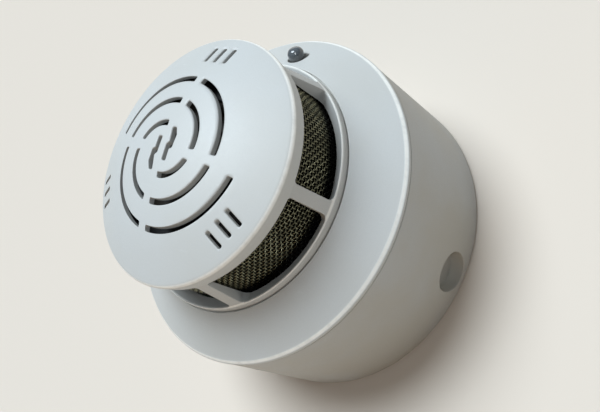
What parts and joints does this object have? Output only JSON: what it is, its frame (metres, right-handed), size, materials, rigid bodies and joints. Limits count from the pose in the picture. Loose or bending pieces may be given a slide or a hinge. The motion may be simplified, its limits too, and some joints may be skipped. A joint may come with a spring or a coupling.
{
  "type": "smoke alarm siren",
  "caption": "Round alarm siren with a smoke sensing head: a domed spiral grille over mesh windows, twisted onto a deep back box.",
  "frame": {"origin": "centre of the flat back of the back box, where it rests on the wall or ceiling", "axes": "+Z out of the front, through the middle of the grille; +Y towards the status light; +X towards the cable knock-out"},
  "size_m": [0.1014, 0.1014, 0.0831],
  "materials": {
    "white_plastic": "fine satin moulding grain",
    "light_grey_plastic": "satin moulding",
    "black_plastic": "satin moulding",
    "board_lacquer": "green solder resist",
    "green_plastic": "satin moulding",
    "capacitor_sleeve": "shrink sleeve",
    "zinc_steel": "zinc plated",
    "contact_brass": "rolled sheet",
    "piezo_ceramic": "silvered ceramic",
    "mesh_wire": "dark woven wire",
    "smoked_lens": "clear smoked epoxy",
    "infrared_lens": "clear epoxy",
    "grommet_rubber": "soft moulding",
    "dip_red": "satin moulding",
    "trimmer_blue": "satin moulding",
    "knob_white": "satin moulding",
    "wire_red": "extruded insulation",
    "wire_black": "extruded insulation",
    "wire_blue": "extruded insulation",
    "wire_yellow": "extruded insulation"
  },
  "bodies": {
    "base": {"back_box": "white_plastic", "cable_grommet": "grommet_rubber", "interface_board": "board_lacquer", "board_screw_1": "zinc_steel", "board_screw_2": "zinc_steel", "terminal_block": "green_plastic", "relay": "black_plastic", "smoothing_capacitor": "capacitor_sleeve", "choke_coil": "black_plastic", "bayonet_socket": "light_grey_plastic", "socket_screw_1": "zinc_steel", "socket_screw_2": "zinc_steel", "socket_screw_3": "zinc_steel", "contact_blade_1": "contact_brass", "contact_blade_2": "contact_brass", "contact_blade_3": "contact_brass", "contact_blade_4": "contact_brass", "clamp_screw_1": "zinc_steel", "clamp_screw_2": "zinc_steel", "clamp_screw_3": "zinc_steel", "clamp_screw_4": "zinc_steel", "hookup_wire_1": "wire_red", "hookup_wire_2": "wire_black", "hookup_wire_3": "wire_blue", "hookup_wire_4": "wire_yellow", "tamper_switch": "black_plastic"},
    "tamper_plunger": {"tamper_plunger": "knob_white"},
    "head": {"shoulder_housing": "white_plastic", "status_led": "smoked_lens", "grille_cap": "white_plastic", "insect_mesh": "mesh_wire", "chamber_base": "black_plastic", "ir_emitter": "infrared_lens", "photodiode": "smoked_lens", "labyrinth_cover": "black_plastic", "piezo_holder": "black_plastic", "piezo_plate": "contact_brass", "piezo_ceramic": "piezo_ceramic", "head_board": "board_lacquer", "microcontroller": "black_plastic", "boost_coil": "black_plastic", "head_base_plate": "light_grey_plastic", "head_screw_1": "zinc_steel", "head_screw_2": "zinc_steel", "head_screw_3": "zinc_steel", "contact_plate_1": "contact_brass", "contact_plate_2": "contact_brass", "contact_plate_3": "contact_brass", "contact_plate_4": "contact_brass", "dip_switch": "dip_red", "volume_trimmer": "trimmer_blue"},
    "dip_slider_1": {"dip_slider_1": "knob_white"},
    "dip_slider_2": {"dip_slider_2": "knob_white"},
    "dip_slider_3": {"dip_slider_3": "knob_white"},
    "dip_slider_4": {"dip_slider_4": "knob_white"},
    "volume_rotor": {"volume_rotor": "knob_white"}
  },
  "joints": [
    {"name": "head_twist", "type": "hinge", "parent": "base", "child": "head", "pos_m": [0, 0, 0.0375], "axis": [0, 0, 1], "range_deg": [0, 20]},
    {"name": "tamper_press", "type": "slide", "parent": "base", "child": "tamper_plunger", "axis": [0, 0, 1], "range_m": [-0.0015, 0], "stiffness_N_per_m": 200, "springref_m": 0.001},
    {"name": "dip_slide_1", "type": "slide", "parent": "head", "child": "dip_slider_1", "axis": [0, 1, 0], "range_m": [0, 0.0015]},
    {"name": "dip_slide_2", "type": "slide", "parent": "head", "child": "dip_slider_2", "axis": [0, 1, 0], "range_m": [0, 0.0015]},
    {"name": "dip_slide_3", "type": "slide", "parent": "head", "child": "dip_slider_3", "axis": [0, 1, 0], "range_m": [0, 0.0015]},
    {"name": "dip_slide_4", "type": "slide", "parent": "head", "child": "dip_slider_4", "axis": [0, 1, 0], "range_m": [0, 0.0015]},
    {"name": "volume_turn", "type": "hinge", "parent": "head", "child": "volume_rotor", "pos_m": [0.0065, 0, 0.0395], "axis": [0, 0, -1], "range_deg": [-135, 135]}
  ]
}
